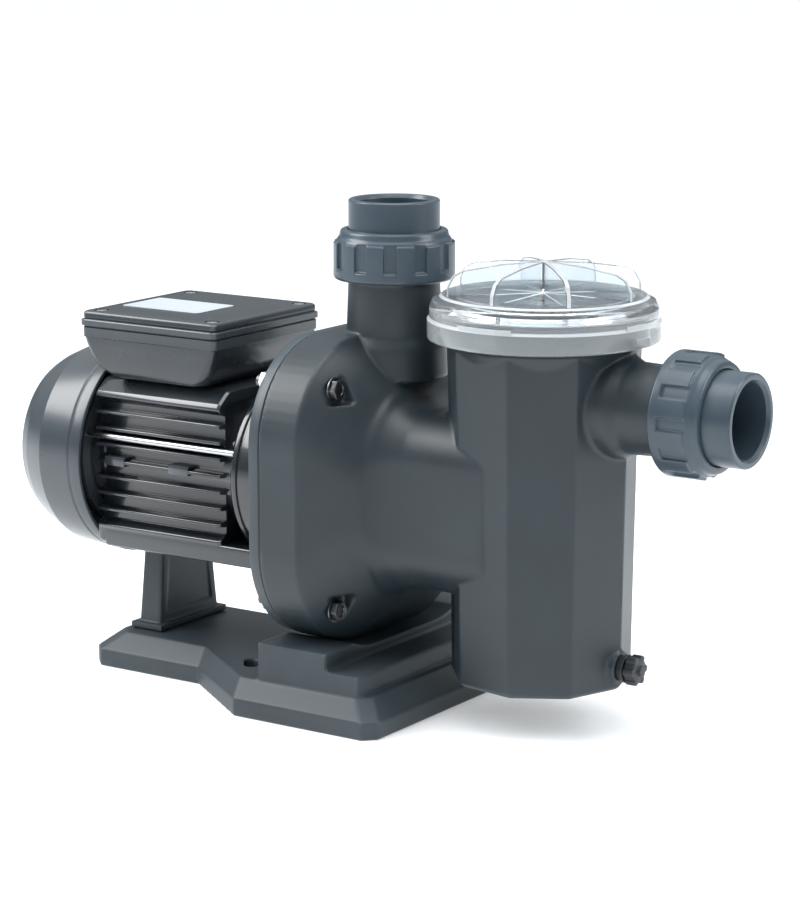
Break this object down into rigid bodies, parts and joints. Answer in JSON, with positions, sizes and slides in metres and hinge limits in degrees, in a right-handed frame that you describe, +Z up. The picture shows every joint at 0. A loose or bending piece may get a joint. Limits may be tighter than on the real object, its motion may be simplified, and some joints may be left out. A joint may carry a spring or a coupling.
{
  "type": "pool pump",
  "caption": "Self-priming pool pump: finned motor on a base, volute, strainer pot with clear ribbed lid, union fittings for suction and discharge pipes.",
  "frame": {"origin": "on the surface the base rests on, straight below the axis of the upright discharge pipe", "axes": "+X along the motor shaft towards the suction socket, +Z up along the discharge pipe, Y across the pump"},
  "size_m": [0.566, 0.222, 0.345],
  "materials": {
    "base_plastic": "moulded dark charcoal, satin",
    "body_plastic": "glass-filled slate grey moulding, satin",
    "union_plastic": "grey PVC, satin",
    "clear_plastic": "clear polycarbonate",
    "basket_plastic": "off-white moulded plastic",
    "inner_plastic": "black moulding",
    "motor_paint": "gloss black paint",
    "cowl_plastic": "dark blue-grey, semi-gloss",
    "box_plastic": "black, semi-gloss",
    "label_film": "blank white film",
    "rubber": "black rubber",
    "steel": "zinc plated",
    "laminations": "bare electrical steel",
    "copper": "enamelled copper",
    "ceramic": "ceramic or white moulding"
  },
  "bodies": {
    "pump": {"base_stand": "base_plastic", "motor_support_post": "base_plastic", "support_pad": "rubber", "housing_seal": "rubber", "terminal_gasket": "rubber", "pump_body": "body_plastic", "seal_plate": "body_plastic", "diffuser": "inner_plastic", "terminal_block": "inner_plastic", "cable_gland": "inner_plastic", "seal_seat": "ceramic", "run_capacitor": "ceramic", "bearing_front": "steel", "bearing_rear": "steel", "tie_rod_1": "steel", "tie_rod_2": "steel", "tie_rod_3": "steel", "tie_rod_4": "steel", "box_screw_1": "steel", "box_screw_2": "steel", "box_screw_3": "steel", "box_screw_4": "steel", "housing_bolt_1": "steel", "housing_bolt_2": "steel", "housing_bolt_3": "steel", "housing_bolt_4": "steel", "housing_nut_1": "steel", "housing_nut_2": "steel", "housing_nut_3": "steel", "housing_nut_4": "steel", "stator_core": "laminations", "winding_front": "copper", "winding_rear": "copper", "motor_housing": "motor_paint", "drive_end_shield": "motor_paint", "rear_end_shield": "motor_paint", "fan_cowl": "cowl_plastic", "terminal_box": "box_plastic", "terminal_box_lid": "box_plastic", "rating_label": "label_film"},
    "rotor": {"motor_shaft": "steel", "rotor_core": "laminations", "cooling_fan": "inner_plastic", "impeller": "inner_plastic", "seal_rotor": "steel"},
    "lid_seal": {"lid_seal": "rubber"},
    "lid": {"strainer_lid": "clear_plastic"},
    "basket": {"strainer_basket": "basket_plastic", "basket_handle": "basket_plastic"},
    "drain_seal": {"drain_seal": "rubber"},
    "drain_plug": {"drain_plug": "inner_plastic"},
    "suction_tail": {"suction_seal": "rubber", "suction_tailpiece": "union_plastic"},
    "suction_nut": {"suction_union_nut": "union_plastic"},
    "discharge_tail": {"discharge_seal": "rubber", "discharge_tailpiece": "union_plastic"},
    "discharge_nut": {"discharge_union_nut": "union_plastic"}
  },
  "joints": [
    {"name": "rotor_spin", "type": "hinge", "parent": "pump", "child": "rotor", "pos_m": [0, 0, 0.15], "axis": [1, 0, 0], "continuous": true},
    {"name": "lid_lift", "type": "slide", "parent": "pump", "child": "lid_seal", "axis": [0, 0, 1], "range_m": [0, 0.28]},
    {"name": "lid_turn", "type": "hinge", "parent": "lid_seal", "child": "lid", "pos_m": [0.119, 0, 0.28], "axis": [0, 0, 1], "range_deg": [-45, 0]},
    {"name": "basket_lift", "type": "slide", "parent": "pump", "child": "basket", "axis": [0, 0, 1], "range_m": [0, 0.24]},
    {"name": "drain_out", "type": "slide", "parent": "pump", "child": "drain_seal", "axis": [1, 0, 0], "range_m": [0, 0.0126]},
    {"name": "drain_turn", "type": "hinge", "parent": "drain_seal", "child": "drain_plug", "pos_m": [0.182, 0, 0.045], "axis": [1, 0, 0], "range_deg": [0, 1800]},
    {"name": "suction_pull", "type": "slide", "parent": "pump", "child": "suction_tail", "axis": [1, 0, 0], "range_m": [0, 0.06]},
    {"name": "suction_nut_turn", "type": "hinge", "parent": "suction_tail", "child": "suction_nut", "pos_m": [0.219, 0, 0.221], "axis": [1, 0, 0], "range_deg": [0, 1080]},
    {"name": "discharge_pull", "type": "slide", "parent": "pump", "child": "discharge_tail", "axis": [0, 0, 1], "range_m": [0, 0.06]},
    {"name": "discharge_nut_turn", "type": "hinge", "parent": "discharge_tail", "child": "discharge_nut", "pos_m": [0, 0, 0.291], "axis": [0, 0, 1], "range_deg": [0, 1080]}
  ],
  "couplings": [
    {"joint": "basket_lift", "follows": "lid_lift", "ratio": 0.85},
    {"joint": "drain_out", "follows": "drain_turn", "m_per_rad": 0.00039789}
  ]
}
